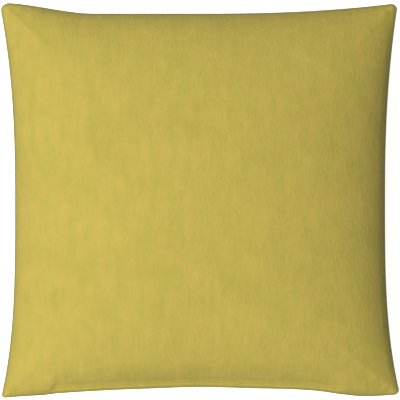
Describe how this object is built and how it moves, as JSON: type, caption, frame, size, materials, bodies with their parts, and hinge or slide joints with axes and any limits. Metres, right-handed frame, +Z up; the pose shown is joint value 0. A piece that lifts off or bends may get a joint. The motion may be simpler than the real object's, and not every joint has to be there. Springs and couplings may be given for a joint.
{
  "type": "throw pillow",
  "caption": "Square knife-edge throw pillow: a zipped velvet cover with drawn-in sides and flared corners over a stuffed insert.",
  "frame": {"origin": "on the surface the pillow lies on, below the middle of its box", "axes": "+Z up through the pillow's thickness, out of the front panel; +Y towards the plain side opposite the zip; +X to the right of someone facing the front panel with the zip side at the bottom"},
  "size_m": [0.4392, 0.4357, 0.134],
  "materials": {
    "velvet": "matte",
    "casing": "matte",
    "fibre": "matte",
    "zip_tape": "matte",
    "zip_coil": "satin",
    "zip_metal": "satin",
    "cover_thread": "satin",
    "insert_thread": "satin",
    "label": "satin"
  },
  "bodies": {
    "cover": {"front_panel": "velvet", "back_panel": "velvet", "overlock_thread": "cover_thread", "care_label": "label", "insert_front_panel": "casing", "insert_back_panel": "casing", "insert_filling": "fibre", "insert_overlock_thread": "insert_thread", "insert_closing_stitch": "insert_thread", "insert_label": "label", "zip_tape_front": "zip_tape", "zip_tape_back": "zip_tape", "zip_coil_front": "zip_coil", "zip_coil_back": "zip_coil", "zip_top_stop_front": "zip_metal", "zip_top_stop_back": "zip_metal", "zip_bottom_stop": "zip_metal", "zip_stitch_front": "cover_thread", "zip_stitch_back": "cover_thread", "bar_tack_left": "cover_thread", "bar_tack_right": "cover_thread"},
    "slider": {"zip_slider": "zip_metal"},
    "pull": {"zip_pull_tab": "zip_metal"}
  },
  "joints": [
    {"name": "zip_travel", "type": "hinge", "parent": "cover", "child": "slider", "pos_m": [0, -2.10254, 0.064], "axis": [0, 0, 1], "range_deg": [0, 8.37]},
    {"name": "pull_swing", "type": "hinge", "parent": "slider", "child": "pull", "pos_m": [0.13323, -0.20838, 0.064], "axis": [0, 0, 1], "range_deg": [0, 180]}
  ]
}
